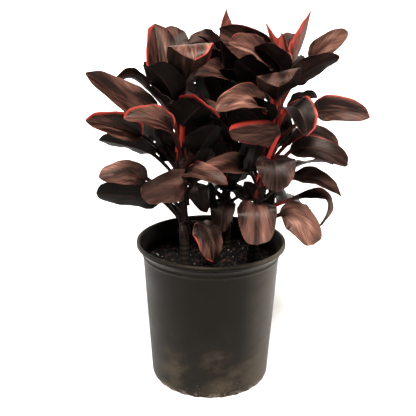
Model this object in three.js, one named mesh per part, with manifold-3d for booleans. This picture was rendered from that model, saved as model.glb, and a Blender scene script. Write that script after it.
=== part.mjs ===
// A potted cordyline: three leafy stems of broad, rolled, dark red leaves in a black nursery pot.
// Millimetres, +Z up. The origin is on the ground under the middle of the pot. The front is towards -Y.
import * as THREE from "three";
import { mergeVertices } from "three/addons/utils/BufferGeometryUtils.js";
import Module from "manifold-3d";

const wasm = await Module();
wasm.setup();

// Driving dimensions
const clearance = 0.3;
const pot = {
  height: 248,
  rimRadius: 127,
  shoulderRadius: 116,
  shoulderHeight: 224,
  footRadius: 103.5,
  wall: 2,
  floor: 3,
  sides: 56,
  drainHoles: 6,
  drainHoleRadius: 7,
  drainHoleCircle: 78,
  footArch: 3.2,
};
const soil = { level: 209, mound: 5, lump: 1.6, rings: 2 };
const cane = { radius: 8.5, ringDepth: 0.9, ringPitch: 9, sides: 8, buried: 40, top: 245 };
const core = { bottomRadius: 8.5, topRadius: 5, sides: 6 };
const petiole = { halfWidth: 5, rootHalfWidth: 5.5, thickness: 2.8, fold: 40, curl: 25, climb: 0.42 };
const blade = { thickness: 1.1, tipHalfWidth: 2.5, baseTaper: 0.95, waves: 2.5 };
const tipTapers = { grown: 0.42, young: 1 };

// Each stem stands where its axis meets the soil and leans towards its crown.
const stems = {
  left: { foot: [-44, -17], crown: [-52, -16, 517] },
  right: { foot: [65, -20], crown: [106, -18, 514] },
  middle: { foot: [28, 62], crown: [24, 36, 536] },
};

// One leaf to a line: height where it leaves the stem, where its blade starts, its tip, then the
// blade's width, reach (how far it follows its petiole before it bends), roll (how far its upper
// face turns to the front), fold, curl, the extra curl of its upper margin, and how far the blade
// is arched, which turns its tip under.
const leavesInFront = {
  left: [
    [380, [-95, -25, 462], [-190, -45, 522], 58, 0, 58, 28, 5, 0, 8],
    [405, [-97, 5, 490], [-150, -5, 501], 32, 50, 10, 35, 50, 0, 16],
    [330, [-112, -20, 430], [-194, -50, 460], 52, 20, 40, 15, 15, 70, 5],
    [362, [-62, -50, 438], [-131, -80, 466], 50, 25, 60, 10, 12, 50, 14],
    [318, [-92, -8, 392], [-180, -25, 430], 54, 28, -50, 12, 10, 0, 0],
    [272, [-104, -20, 357], [-180, -35, 366], 50, 28, 48, 10, 25, 0, 12],
    [256, [-80, -5, 310], [-190, -15, 330], 66, 18, -72, 8, 8, 0, 0],
    [300, [-38, -46, 348], [-110, -56, 337], 60, 28, 64, 3, -20, 0, 38],
    [447, [-81, 0, 508], [-95, 22, 597], 76, 8, 28, 18, 25, 0, 14],
    [430, [-83, 5, 496], [-108, 10, 540], 32, 10, 20, 20, 0, 0, 0],
    [470, [-54, 20, 541], [-66, 58, 590], 58, 40, 0, 12, 0, 0, 12],
    [425, [-42, -42, 512], [-26, -118, 553], 68, 80, 0, 2, -5, 0, 26],
    [415, [-58, -42, 484], [-94, -76, 541], 56, 30, -10, 15, 10, 0, 8],
    [400, [-42, -46, 476], [10, -85, 468], 44, 20, 12, 25, 30, 0, 6],
    [372, [-69, -40, 474], [-102, -45, 509], 46, 15, 20, 12, 0, 0, 0],
    [385, [-46, -42, 446], [-10, -72, 490], 66, 12, -10, 12, 0, 0, 6],
    [318, [-40, -50, 373], [24, -90, 368], 38, 25, 45, 12, 15, 0, 8],
    [262, [-18, -60, 294], [3, -85, 241], 52, 25, 0, 5, -20, 0, 12],
    [345, [-28, -35, 400], [8, -58, 452], 66, 20, -10, 12, 0, 0, 6],
    [296, [-30, -34, 350], [0, -46, 412], 54, 20, -10, 12, 0, 0, 6],
    [326, [-64, -4, 396], [-86, 2, 446], 54, 15, 0, 12, 0, 0, 4],
  ],
  right: [
    [468, [112, 10, 542], [116, 55, 569], 40, 35, 0, 12, 0, 0, 0],
    [455, [141, -15, 548], [197, -36, 589], 36, 20, 62, 12, 15, 0, 10],
    [425, [124, -32, 510], [184, -62, 554], 46, 20, -45, 12, 12, 0, 12],
    [458, [104, -40, 528], [60, -62, 569], 42, 15, -32, 12, 8, 0, 8],
    [410, [97, -46, 482], [90, -119, 518], 66, 76, 0, 2, -5, 0, 24],
    [465, [84, 6, 550], [9, -14, 594], 60, 28, 48, 12, 15, 20, 14],
    [450, [82, -34, 532], [22, -72, 574], 58, 20, 50, 12, 15, 20, 14],
    [391, [126, -18, 472], [161, -35, 492], 34, 25, 0, 20, 30, 0, 0],
    [380, [112, -52, 472], [140, -84, 442], 54, 32, 10, 12, 8, 0, 14],
    [370, [154, 0, 460], [246, -26, 456], 48, 28, 50, 15, 10, 0, 20],
    [345, [124, -12, 414], [200, -30, 408], 38, 42, 40, 15, 5, 0, 14],
    [325, [122, -44, 402], [209, -66, 382], 42, 28, 45, 10, 8, 0, 22],
    [295, [130, -30, 366], [206, -52, 336], 34, 42, 35, 15, 15, 0, 14],
    [276, [116, -20, 310], [190, -18, 284], 28, 112, 25, 22, 10, 0, 16],
    [320, [92, -64, 397], [97, -101, 360], 62, 30, 0, 8, -12, 0, 8],
    [355, [104, -48, 436], [24, -98, 452], 56, 20, 46, 10, 20, 80, -14],
    [405, [76, -45, 470], [5, -92, 480], 56, 40, 48, 12, 25, 60, 14],
    [305, [60, -20, 370], [-17, -56, 380], 46, 15, 22, 15, 25, 20, 10],
    [258, [71, -60, 324], [72, -98, 270], 64, 34, 0, 8, -22, 0, 18],
    [250, [112, -24, 296], [174, -50, 255], 52, 32, 56, 8, 5, 0, 14],
    [430, [88, -30, 500], [34, -50, 548], 66, 15, -20, 12, 0, 0, 4],
    [376, [82, -36, 446], [34, -58, 484], 64, 15, -5, 12, 0, 0, 4],
    [350, [108, 10, 402], [120, 14, 466], 60, 15, -10, 12, 0, 0, 4],
    [312, [68, -12, 366], [70, -14, 426], 58, 15, 0, 12, 0, 0, 4],
  ],
  middle: [
    [475, [8, 12, 560], [-38, -8, 570], 40, 15, 68, 12, 15, 0, 10],
    [440, [20, 12, 518], [10, -4, 574], 60, 15, 0, 15, 0, 0, 0],
    [415, [24, 5, 508], [-28, -32, 524], 54, 18, 66, 12, 20, 20, 12],
    [395, [13, 10, 488], [58, -16, 514], 60, 20, -20, 12, 0, 0, 8],
    [350, [33, 20, 428], [-2, -10, 432], 54, 15, 20, 12, 0, 0, 10],
    [262, [24, 38, 298], [16, 4, 254], 44, 20, 0, 8, -10, 0, 12],
    [268, [11, 60, 305], [58, 40, 327], 28, 40, 0, 12, 0, 0, 0],
    [275, [-17, 12, 337], [-8, -5, 292], 40, 25, 0, 12, 0, 0, 0],
    [266, [33, 45, 317], [63, 20, 305], 34, 20, 20, 10, 0, 0, 0],
    [352, [10, 20, 398], [-9, -6, 460], 70, 15, 0, 10, 0, 0, 0],
    [316, [32, 24, 360], [30, 2, 416], 76, 15, 0, 10, 0, 0, 0],
    [352, [42, 26, 408], [55, 4, 484], 66, 15, 0, 10, 0, 0, 0],
    [392, [8, 12, 454], [-18, -10, 527], 60, 15, 0, 12, 0, 0, 4],
    [452, [1, 18, 526], [-34, 4, 582], 54, 15, 0, 12, 0, 0, 4],
    [290, [8, 34, 336], [-26, 12, 368], 50, 15, 0, 12, 0, 0, 4],
    [285, [41, 36, 332], [60, 22, 368], 52, 15, 0, 12, 0, 0, 4],
  ],
};

// The leaves behind, one to a line: height on the stem, direction (0 to the right, 90 to the back),
// petiole and blade lengths, the slopes of both, and the blade's width.
const leavesBehind = {
  left: [
    [262, 122, 66, 95, 35, -15, 50],
    [285, 92, 70, 98, 42, -5, 54],
    [312, 112, 72, 92, 50, 8, 48],
    [345, 135, 74, 84, 58, 22, 46],
    [372, 82, 60, 78, 50, 34, 54],
    [408, 112, 74, 88, 62, 25, 50],
    [440, 75, 64, 82, 66, 36, 46],
  ],
  right: [
    [262, 45, 68, 96, 35, -18, 52],
    [290, 86, 70, 90, 42, -6, 50],
    [318, 25, 70, 92, 44, 2, 48],
    [345, 65, 76, 98, 50, 10, 54],
    [375, 50, 70, 86, 56, 16, 50],
    [410, 88, 72, 88, 62, 24, 50],
    [442, 60, 66, 82, 66, 34, 46],
  ],
  middle: [
    [258, 110, 66, 96, 35, -18, 52],
    [272, 20, 60, 80, 38, -12, 46],
    [300, 70, 72, 98, 42, -6, 52],
    [325, 140, 68, 84, 46, 4, 48],
    [350, 40, 70, 88, 50, 8, 50],
    [380, 95, 78, 98, 54, 14, 54],
    [408, 160, 66, 84, 60, 18, 48],
    [435, 60, 72, 88, 62, 28, 50],
    [462, 115, 68, 84, 66, 36, 46],
    [485, 75, 58, 70, 68, 42, 40],
  ],
};

// The young leaves stand in the middle of each crown, still half furled: foot, tip, width, fold.
const leavesYoung = {
  left: [[[-46, -17, 540], [-42, -20, 577], 18, 50]],
  right: [
    [[121, -15, 544], [143, -20, 620], 36, 40],
    [[103, 4, 542], [81, 12, 600], 32, 46],
    [[111, -10, 546], [104, -10, 588], 26, 40],
  ],
  middle: [[[23, 34, 562], [24, 33, 622], 52, 34]],
};

const radians = (degrees) => (degrees * Math.PI) / 180;
const smooth = (t) => t * t * (3 - 2 * t);
const clamp01 = (t) => Math.min(1, Math.max(0, t));

function solidOf(geometry) {
  const bare = geometry.clone();
  bare.deleteAttribute("normal");
  bare.deleteAttribute("uv");
  const merged = mergeVertices(bare, 1e-4);
  return new wasm.Manifold(
    new wasm.Mesh({
      numProp: 3,
      vertProperties: new Float32Array(merged.attributes.position.array),
      triVerts: new Uint32Array(merged.index.array),
    }),
  );
}

function geometryOf(solid) {
  const made = solid.getMesh();
  const geometry = new THREE.BufferGeometry();
  geometry.setAttribute("position", new THREE.BufferAttribute(made.vertProperties, 3));
  geometry.setIndex(new THREE.BufferAttribute(made.triVerts, 1));
  geometry.computeVertexNormals();
  return geometry;
}

function joined(solids) {
  return solids.reduce((sum, solid) => sum.add(solid));
}

// Lathes a profile of [radius, height] pairs about +Z.
function lathe(profile, sides) {
  const points = profile.map(([r, z]) => new THREE.Vector2(r, z));
  return new THREE.LatheGeometry(points, sides).rotateX(Math.PI / 2);
}

// Pot

function potWallRadius(z) {
  return THREE.MathUtils.lerp(pot.footRadius, pot.shoulderRadius, z / pot.shoulderHeight);
}

// Up the outside from the middle of the floor, over the rolled lip and down the inside.
function potProfile() {
  const outside = [
    [0, 0],
    [pot.footRadius - 4, 0],
    [pot.footRadius - 1, 0],
    [potWallRadius(5), 5],
    [pot.shoulderRadius, pot.shoulderHeight],
    [pot.shoulderRadius + 2, pot.shoulderHeight + 2],
  ];
  const flare = [0.4, 0.75, 1].map((t) => [
    THREE.MathUtils.lerp(pot.shoulderRadius + 2, pot.rimRadius - 1.5, Math.pow(t, 1.8)),
    THREE.MathUtils.lerp(pot.shoulderHeight + 2, pot.height - 7, t),
  ]);
  const lip = [
    [pot.rimRadius, pot.height - 5],
    [pot.rimRadius, pot.height - 2],
    [pot.rimRadius - 2, pot.height],
    [pot.rimRadius - 5, pot.height - 0.6],
    [pot.rimRadius - 6.5, pot.height - 4],
  ];
  const inside = [
    [pot.shoulderRadius + 3, pot.height - 13],
    [pot.shoulderRadius - pot.wall, pot.shoulderHeight],
    [potWallRadius(pot.floor) - pot.wall, pot.floor],
    [0, pot.floor],
  ];
  return [...outside, ...flare, ...lip, ...inside];
}

// The edge of the foot is scalloped: every second point of its ring is raised into a small arch.
function scallopFoot(geometry) {
  const place = geometry.attributes.position;
  for (let i = 0; i < place.count; i++) {
    const [x, y] = [place.getX(i), place.getY(i)];
    const onEdge = place.getZ(i) === 0 && Math.hypot(x, y) > pot.footRadius - 2;
    const step = Math.round((Math.atan2(y, x) / (2 * Math.PI)) * pot.sides);
    if (onEdge && step % 2 !== 0) place.setZ(i, pot.footArch);
  }
  return geometry;
}

function drainHole(i) {
  const hole = new THREE.CylinderGeometry(pot.drainHoleRadius, pot.drainHoleRadius, 4 * pot.floor, 8);
  hole.rotateX(Math.PI / 2);
  hole.translate(pot.drainHoleCircle, 0, pot.floor);
  hole.rotateZ(((i + 0.5) / pot.drainHoles) * 2 * Math.PI);
  return solidOf(hole);
}

function potSolid() {
  const wall = solidOf(scallopFoot(lathe(potProfile(), pot.sides)));
  const holes = Array.from({ length: pot.drainHoles }, (_, i) => drainHole(i));
  return holes.reduce((made, hole) => made.subtract(hole), wall);
}

// Soil

function soilTop(x, y) {
  const r = Math.hypot(x, y) / pot.shoulderRadius;
  const lumps = Math.sin(x * 0.11 + 1.3) * Math.cos(y * 0.13) + 0.6 * Math.sin((x - y) * 0.19);
  return soil.level + soil.mound * (0.5 - r * r) + soil.lump * lumps * (1 - r);
}

function soilSolid() {
  const outer = potWallRadius(soil.level) - pot.wall - clearance;
  const bottom = pot.floor + clearance;
  const profile = [[0, bottom], [potWallRadius(bottom) - pot.wall - 2 * clearance, bottom]];
  for (let i = 0; i <= soil.rings; i++) profile.push([outer * (1 - i / soil.rings), soil.level]);
  const geometry = lathe(profile, pot.sides);
  const place = geometry.attributes.position;
  for (let i = 0; i < place.count; i++) {
    if (place.getZ(i) > pot.floor + 1) place.setZ(i, soilTop(place.getX(i), place.getY(i)));
  }
  const deep = soil.level - cane.buried - clearance;
  const holes = Object.values(stems).map((stem) =>
    alongAxis(lathe(caneOutline(deep, soil.level + 20, clearance), cane.sides), stem),
  );
  return holes.reduce((made, hole) => made.subtract(hole), solidOf(geometry));
}

// Canes

function axisPoint(stem, z) {
  const t = (z - soil.level) / (stem.crown[2] - soil.level);
  return new THREE.Vector3(
    THREE.MathUtils.lerp(stem.foot[0], stem.crown[0], t),
    THREE.MathUtils.lerp(stem.foot[1], stem.crown[1], t),
    z,
  );
}

// Shears an upright solid so that its middle follows a stem's axis.
function alongAxis(geometry, stem) {
  const place = geometry.attributes.position;
  for (let i = 0; i < place.count; i++) {
    const at = axisPoint(stem, place.getZ(i));
    place.setXYZ(i, place.getX(i) + at.x, place.getY(i) + at.y, place.getZ(i));
  }
  return solidOf(geometry);
}

function caneOutline(from, to, extra) {
  const radius = cane.radius + extra;
  return [[0, from], [radius, from], [radius, to], [0, to]];
}

// A bare cane is ringed by the scars of its fallen leaves.
function caneSolid(stem) {
  const [middle, edge, , end] = caneOutline(soil.level - cane.buried, cane.top, 0);
  const scars = [];
  for (let z = soil.level - 3; z < cane.top - cane.ringPitch; z += cane.ringPitch) {
    scars.push([cane.radius, z], [cane.radius - cane.ringDepth, z + 2]);
  }
  const rim = [cane.radius - cane.ringDepth / 2, cane.top];
  return alongAxis(lathe([middle, edge, ...scars, rim, end], cane.sides), stem);
}

// Leaves

function alongBend(a, b, c, t) {
  return a.clone().multiplyScalar((1 - t) ** 2).addScaledVector(b, 2 * t * (1 - t)).addScaledVector(c, t * t);
}

// Gives each station its frame, carried along from the root: the right side and the upper face.
function turnStations(stations, across, turnAt) {
  let side = across.clone();
  stations.forEach((station, i) => {
    const next = stations[Math.min(i + 1, stations.length - 1)].at;
    const before = stations[Math.max(i - 1, 0)].at;
    const ahead = next.clone().sub(before).normalize();
    side = side.clone().addScaledVector(ahead, -side.dot(ahead)).normalize();
    station.side = side.clone().applyAxisAngle(ahead, turnAt(station.s));
    station.up = ahead.clone().cross(station.side);
  });
}

// The midrib as stations, each with its place, its frame and s: -1 at the root, 0 where the blade
// starts and 1 at the tip. The petiole climbs beside the stem and bends out; the blade bends over.
function midrib({ root, climb, start, tip, reach, roll, arch }) {
  const out = start.clone().sub(root);
  const petioleBend = root.clone().addScaledVector(climb, petiole.climb * out.length());
  const bladeBend = start.clone().addScaledVector(start.clone().sub(petioleBend).normalize(), reach);
  const steps = 24;
  const stations = [];
  for (let i = 0; i <= 2 * steps; i++) {
    const s = i / steps - 1;
    const at = s < 0 ? alongBend(root, petioleBend, start, s + 1) : alongBend(start, bladeBend, tip, s);
    stations.push({ s, at, hand: out.x < 0 ? 1 : -1 });
  }
  const across = new THREE.Vector3(-out.y, out.x, 0).normalize();
  const turnAt = (s) => -stations[0].hand * radians(roll) * smooth(clamp01((s + 0.8) / 1.1));
  turnStations(stations, across, turnAt);
  for (const { s, at, up } of stations) at.addScaledVector(up, 3 * arch * Math.max(s, 0) ** 2 * (1 - s));
  turnStations(stations, across, turnAt);
  return stations;
}

function halfWidth(s, width, tipTaper) {
  if (s < 0) {
    return THREE.MathUtils.lerp(petiole.rootHalfWidth, petiole.halfWidth, smooth(clamp01(2 * s + 2)));
  }
  const taper = THREE.MathUtils.lerp(blade.baseTaper, tipTaper, smooth(clamp01(2 * s)));
  const outline = Math.sin(Math.PI * Math.pow(s, 0.92)) ** taper;
  return Math.max(s < 0.5 ? petiole.halfWidth : blade.tipHalfWidth, (width / 2) * outline);
}

// A point of the blade's section, v from -1 at the right margin to 1 at the left one, and the
// direction straight out of the upper face there. The section leaves the midrib at the fold and
// turns by the curl on its way to the margin.
function sectionPoint(station, v, leaf) {
  const part = smooth(clamp01(station.s / 0.3));
  const fold = radians(THREE.MathUtils.lerp(petiole.fold, leaf.fold, part));
  const reach = Math.abs(v);
  const hand = Math.sign(v);
  const lip = hand * station.hand < 0 ? leaf.lip : 0;
  const curl = radians(THREE.MathUtils.lerp(petiole.curl, leaf.curl + lip, part)) || 1e-6;
  const half = halfWidth(station.s, leaf.width, leaf.tipTaper);
  const across = (half * (Math.sin(fold + curl * reach) - Math.sin(fold))) / curl;
  const rise = (half * (Math.cos(fold) - Math.cos(fold + curl * reach))) / curl;
  const ripple = Math.sin(blade.waves * 2 * Math.PI * station.s + hand * 1.3);
  const wave = leaf.wave * ripple * reach * reach * part;
  const slope = v === 0 ? 0 : fold + curl * reach;
  const inSection = (right, up) => station.side.clone().multiplyScalar(right).addScaledVector(station.up, up);
  return {
    at: station.at.clone().add(inSection(hand * across, rise + wave)),
    out: inSection(-hand * Math.sin(slope), Math.cos(slope)),
  };
}

function thicknessAt(s) {
  return THREE.MathUtils.lerp(petiole.thickness, blade.thickness, smooth(clamp01(s / 0.3)));
}

function leafSolid(leaf) {
  const stations = midrib(leaf);
  const { rows, across } = leaf.mesh;
  const places = [];
  for (const row of rows) {
    const station = stations[row];
    const deep = -thicknessAt(station.s);
    const points = across.map((v) => sectionPoint(station, v, leaf));
    points.forEach(({ at }) => places.push(at));
    points.reverse().forEach(({ at, out }) => places.push(at.clone().addScaledVector(out, deep)));
  }
  const ring = 2 * across.length;
  const last = across.length - 1;
  const faces = [];
  const quad = (a, b, c, d) => faces.push(a, b, c, a, c, d);
  const cap = (start, flip) => {
    for (let j = 0; j < last; j++) {
      const corners = [start + ring - 1 - j, start + j, start + j + 1, start + ring - 2 - j];
      quad(...(flip ? corners.reverse() : corners));
    }
  };
  for (let i = 0; i + 1 < rows.length; i++) {
    const here = i * ring;
    const next = here + ring;
    for (let j = 0; j < last; j++) {
      quad(here + j, next + j, next + j + 1, here + j + 1);
      const under = ring - 1 - j;
      faces.push(here + under, next + under - 1, next + under);
      faces.push(here + under, here + under - 1, next + under - 1);
    }
    quad(here + ring - 1, next + ring - 1, next, here);
    quad(here + last + 1, here + last, next + last, next + last + 1);
  }
  cap(0, false);
  cap((rows.length - 1) * ring, true);
  const geometry = new THREE.BufferGeometry().setFromPoints(places);
  geometry.setIndex(faces);
  return solidOf(geometry);
}

// The stations and the places across a leaf at which its surface has points.
const fineMesh = { rows: [0, 13, 24, 29, 35, 41, 46, 48], across: [-1, -0.5, 0, 0.5, 1] };
const youngMesh = { rows: [4, 24, 33, 42, 48], across: [-1, 0, 1] };
const plainMesh = { rows: [0, 14, 24, 32, 44, 48], across: [-1, 0, 1] };

// Where a leaf leaves its stem, and the way the stem climbs there.
function rootOn(stem, height) {
  const root = axisPoint(stem, height);
  return { root, climb: axisPoint(stem, height + 1).sub(root).normalize() };
}

function leafInFront(stem, [height, start, tip, width, reach, roll, fold, curl, lip, arch]) {
  const ends = { start: new THREE.Vector3(...start), tip: new THREE.Vector3(...tip) };
  const mesh = arch < 15 && lip < 30 ? plainMesh : fineMesh;
  const shape = { width, tipTaper: tipTapers.grown, reach, roll, fold, curl, lip, arch, wave: 1.5, mesh };
  return { ...rootOn(stem, height), ...ends, ...shape };
}

function heading(direction, slope) {
  const level = new THREE.Vector3(Math.cos(radians(direction)), Math.sin(radians(direction)), 0);
  return level.multiplyScalar(Math.cos(radians(slope))).setZ(Math.sin(radians(slope)));
}

// The leaves behind are rolled and folded a little differently from each other.
function leafBehind(stem, [height, direction, petioleLength, bladeLength, rise, droop, width], i) {
  const { root, climb } = rootOn(stem, height);
  const start = root.clone().addScaledVector(heading(direction, rise), petioleLength);
  const tip = start.clone().addScaledVector(heading(direction, droop), bladeLength);
  const roll = 24 * Math.sin(2.4 * i + 0.7);
  const fold = 14 + 6 * Math.sin(1.7 * i);
  const reach = 0.4 * bladeLength;
  const plain = { tipTaper: tipTapers.grown, curl: 0, lip: 0, arch: 8, wave: 2, mesh: plainMesh };
  return { root, climb, start, tip, width, reach, roll, fold, ...plain };
}

function leavesOf(stemName) {
  const stem = stems[stemName];
  return [
    ...leavesInFront[stemName].map((row) => leafInFront(stem, row)),
    ...leavesBehind[stemName].map((row, i) => leafBehind(stem, row, i)),
  ];
}

function foliageSolid(stemName) {
  const stem = stems[stemName];
  const from = cane.top + clearance;
  const to = stem.crown[2];
  const outline = [[0, from], [core.bottomRadius, from], [core.topRadius, to], [0, to]];
  return joined([alongAxis(lathe(outline, core.sides), stem), ...leavesOf(stemName).map(leafSolid)]);
}

// A small shoot of its own carries the young leaves, straight above the leafy one.
function youngSolid(stemName) {
  const stem = stems[stemName];
  const from = stem.crown[2] + clearance;
  const outline = [[0, from], [core.topRadius, from], [3, from + 26], [0, from + 28]];
  const leaves = leavesYoung[stemName].map(([start, tip, width, fold]) => ({
    ...rootOn(stem, from + 8),
    start: new THREE.Vector3(...start),
    tip: new THREE.Vector3(...tip),
    width,
    tipTaper: tipTapers.young,
    reach: 12,
    roll: 0,
    fold,
    curl: 15,
    lip: 0,
    arch: 0,
    wave: 0.6,
    mesh: youngMesh,
  }));
  return joined([alongAxis(lathe(outline, core.sides), stem), ...leaves.map(leafSolid)]);
}

const materials = {
  pot: { color: 0x2b2a28, roughness: 0.55 },
  soil: { color: 0x1d1712, roughness: 0.95 },
  cane: { color: 0x4a3a2a, roughness: 0.8 },
  foliage: { color: 0x4b2428, roughness: 0.45 },
  new_leaves: { color: 0xc04a44, roughness: 0.45 },
};

const group = new THREE.Group();

function addPiece(name, look, solid) {
  const piece = new THREE.Mesh(geometryOf(solid), new THREE.MeshStandardMaterial({ metalness: 0, ...look }));
  piece.name = name;
  group.add(piece);
}

addPiece("pot", materials.pot, potSolid());
addPiece("soil", materials.soil, soilSolid());
for (const [name, stem] of Object.entries(stems)) {
  addPiece(`cane_${name}`, materials.cane, caneSolid(stem));
  addPiece(`foliage_${name}`, materials.foliage, foliageSolid(name));
  addPiece(`new_leaves_${name}`, materials.new_leaves, youngSolid(name));
}

export default group;
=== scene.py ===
# A potted cordyline: three leafy stems of broad, rolled, dark red leaves in a black nursery pot.
# Metres, +Z up, the same frame as the solids. The tables are in millimetres, and the floor's in metres.
import math
import random

import bmesh
import bpy
from mathutils import Matrix, Quaternion, Vector, noise


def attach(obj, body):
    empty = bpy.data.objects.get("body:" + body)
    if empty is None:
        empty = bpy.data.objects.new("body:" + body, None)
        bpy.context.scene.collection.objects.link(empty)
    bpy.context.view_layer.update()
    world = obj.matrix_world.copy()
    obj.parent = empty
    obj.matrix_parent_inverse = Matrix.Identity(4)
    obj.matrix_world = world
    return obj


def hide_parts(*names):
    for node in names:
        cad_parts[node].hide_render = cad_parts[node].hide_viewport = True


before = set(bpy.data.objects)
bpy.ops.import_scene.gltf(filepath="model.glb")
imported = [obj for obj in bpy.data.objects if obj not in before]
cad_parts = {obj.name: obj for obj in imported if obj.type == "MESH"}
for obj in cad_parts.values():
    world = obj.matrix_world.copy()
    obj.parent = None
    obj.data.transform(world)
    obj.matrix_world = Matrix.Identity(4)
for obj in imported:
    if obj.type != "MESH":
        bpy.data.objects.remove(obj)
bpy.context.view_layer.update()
mm = 0.001
print(len(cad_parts), "solids loaded")


# Shader maths: a Socket holds one output, and its operators add Math nodes to the same material

class Socket:
    def __init__(self, look, output):
        self.look = look
        self.output = output

    def maths(self, operation, *values):
        return self.look.add("ShaderNodeMath", {"operation": operation}, dict(enumerate(values)))

    def __add__(self, other):
        return self.maths("ADD", self, other)

    def __sub__(self, other):
        return self.maths("SUBTRACT", self, other)

    def __mul__(self, other):
        return self.maths("MULTIPLY", self, other)

    def __truediv__(self, other):
        return self.maths("DIVIDE", self, other)

    def __rsub__(self, other):
        return self.maths("SUBTRACT", other, self)

    __radd__ = __add__
    __rmul__ = __mul__

    def wave(self):  # one full wave for each whole number, between 0 and 1
        return self.maths("SINE", self * (2 * math.pi)) * 0.5 + 0.5

    def size(self):
        return self.maths("ABSOLUTE", self)

    def ease(self, low, high):  # 0 below low, 1 above high, smooth between
        return self.look.add(
            "ShaderNodeMapRange",
            {"interpolation_type": "SMOOTHSTEP"},
            {"Value": self, "From Min": low, "From Max": high},
        )

    def band(self, rise, fall):  # 1 between the two spans, 0 outside them
        return self.ease(*rise) * (1 - self.ease(*fall))


# A material under way. Constants are set on the shader, and each method adds what the surface varies by

class Look:
    def __init__(self, name, constants):
        self.material = bpy.data.materials.new(name)
        self.material.use_nodes = True
        self.nodes = self.material.node_tree.nodes
        self.shader = self.nodes["Principled BSDF"]
        for socket, value in constants.items():
            self.shader.inputs[socket].default_value = value

    def join(self, value, socket):
        if isinstance(value, Socket):
            self.material.node_tree.links.new(value.output, socket)
        else:
            socket.default_value = value

    def add(self, kind, settings=None, values=None, output=0):
        node = self.nodes.new(kind)
        for name, setting in (settings or {}).items():
            if name == "stops":
                ramp = node.color_ramp
                while len(ramp.elements) < len(setting):
                    ramp.elements.new(0.5)
                for element, (position, colour) in zip(ramp.elements, setting):
                    element.position = position
                    element.color = (*colour, 1)
            else:
                setattr(node, name, setting)
        for name, value in (values or {}).items():
            self.join(value, node.inputs[name])
        return Socket(self, node.outputs[output])

    def split(self, vector):
        node = self.nodes.new("ShaderNodeSeparateXYZ")
        self.join(vector, node.inputs[0])
        return [Socket(self, output) for output in node.outputs]

    def vector(self, x, y, z):
        return self.add("ShaderNodeCombineXYZ", None, {0: x, 1: y, 2: z})

    def attribute(self, name):
        return self.add("ShaderNodeAttribute", {"attribute_name": name}, None, "Vector")

    def place(self):  # Object coordinates in millimetres
        coordinates = self.add("ShaderNodeTexCoord", None, None, "Object")
        return self.add("ShaderNodeVectorMath", {"operation": "SCALE"}, {0: coordinates, "Scale": 1 / mm})

    def grain(self, vector, scale, detail=3.0, roughness=0.5):
        return self.add(
            "ShaderNodeTexNoise",
            None,
            {"Vector": vector, "Scale": scale, "Detail": detail, "Roughness": roughness},
        )

    def ramp(self, factor, stops):
        return self.add("ShaderNodeValToRGB", {"stops": stops}, {0: factor})

    def blend(self, factor, under, over):
        colours = [colour if isinstance(colour, Socket) else (*colour, 1) for colour in (under, over)]
        node = self.nodes.new("ShaderNodeMix")
        node.data_type = "RGBA"
        self.join(factor, node.inputs[0])
        self.join(colours[0], node.inputs[6])  # A, as a colour
        self.join(colours[1], node.inputs[7])  # B, as a colour
        return Socket(self, node.outputs[2])

    def finish(self, colour, roughness, height, depth):
        self.join(colour, self.shader.inputs["Base Color"])
        self.join(roughness, self.shader.inputs["Roughness"])
        bump = self.add("ShaderNodeBump", None, {"Height": height, "Distance": depth * mm, "Strength": 1.0})
        self.join(bump, self.shader.inputs["Normal"])
        return self.material


# Pieces

def addPiece(name, bm, looks, nodes=(), sharpAngle=40):
    mesh = bpy.data.meshes.new(name)
    bm.to_mesh(mesh)
    bm.free()
    for look in looks:
        mesh.materials.append(look)
    mesh.shade_smooth()
    mesh.set_sharp_from_angle(angle=math.radians(sharpAngle))
    piece = bpy.data.objects.new(name, mesh)
    bpy.context.scene.collection.objects.link(piece)
    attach(piece, "root")
    if nodes:
        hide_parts(*nodes)
    return piece


# Keeps the mesh that the modifiers give, and takes them off
def applyModifiers(piece, sharpAngle):
    graph = bpy.context.evaluated_depsgraph_get()
    mesh = bpy.data.meshes.new_from_object(piece.evaluated_get(graph))
    mesh.name = piece.name
    piece.modifiers.clear()
    piece.data = mesh
    mesh.set_sharp_from_angle(angle=math.radians(sharpAngle))


# Lists corners by their place, and edges and faces by their corners, so that every run gives the same mesh
def settleOrder(bm):
    for i, vert in enumerate(sorted(bm.verts, key=lambda vert: tuple(vert.co))):
        vert.index = i
    for parts in (bm.edges, bm.faces):
        for i, part in enumerate(sorted(parts, key=lambda part: sorted(vert.index for vert in part.verts))):
            part.index = i
    for parts in (bm.verts, bm.edges, bm.faces):
        parts.sort()


# Turns a profile of radius and height once round the upright axis
def spinProfile(bm, points, steps):
    verts = [bm.verts.new((radius * mm, 0, z * mm)) for radius, z in points]
    edges = [bm.edges.new(pair) for pair in zip(verts, verts[1:])]
    bmesh.ops.spin(
        bm,
        geom=verts + edges,
        cent=(0, 0, 0),
        axis=(0, 0, 1),
        dvec=(0, 0, 0),
        angle=2 * math.pi,
        steps=steps,
        use_merge=True,
    )
    bmesh.ops.remove_doubles(bm, verts=bm.verts, dist=1e-6)
    bmesh.ops.recalc_face_normals(bm, faces=bm.faces)
    settleOrder(bm)


def smooth(t):
    t = min(1, max(0, t))
    return t * t * (3 - 2 * t)


def mix(a, b, t):
    return a + (b - a) * t


# Leaves

soilLevel = 209

stems = {  # each one's foot is given at the level of the mix
    "left": {"foot": (-44, -17), "crown": (-52, -16, 517)},
    "right": {"foot": (65, -20), "crown": (106, -18, 514)},
    "middle": {"foot": (28, 62), "crown": (24, 36, 536)},
}

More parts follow.
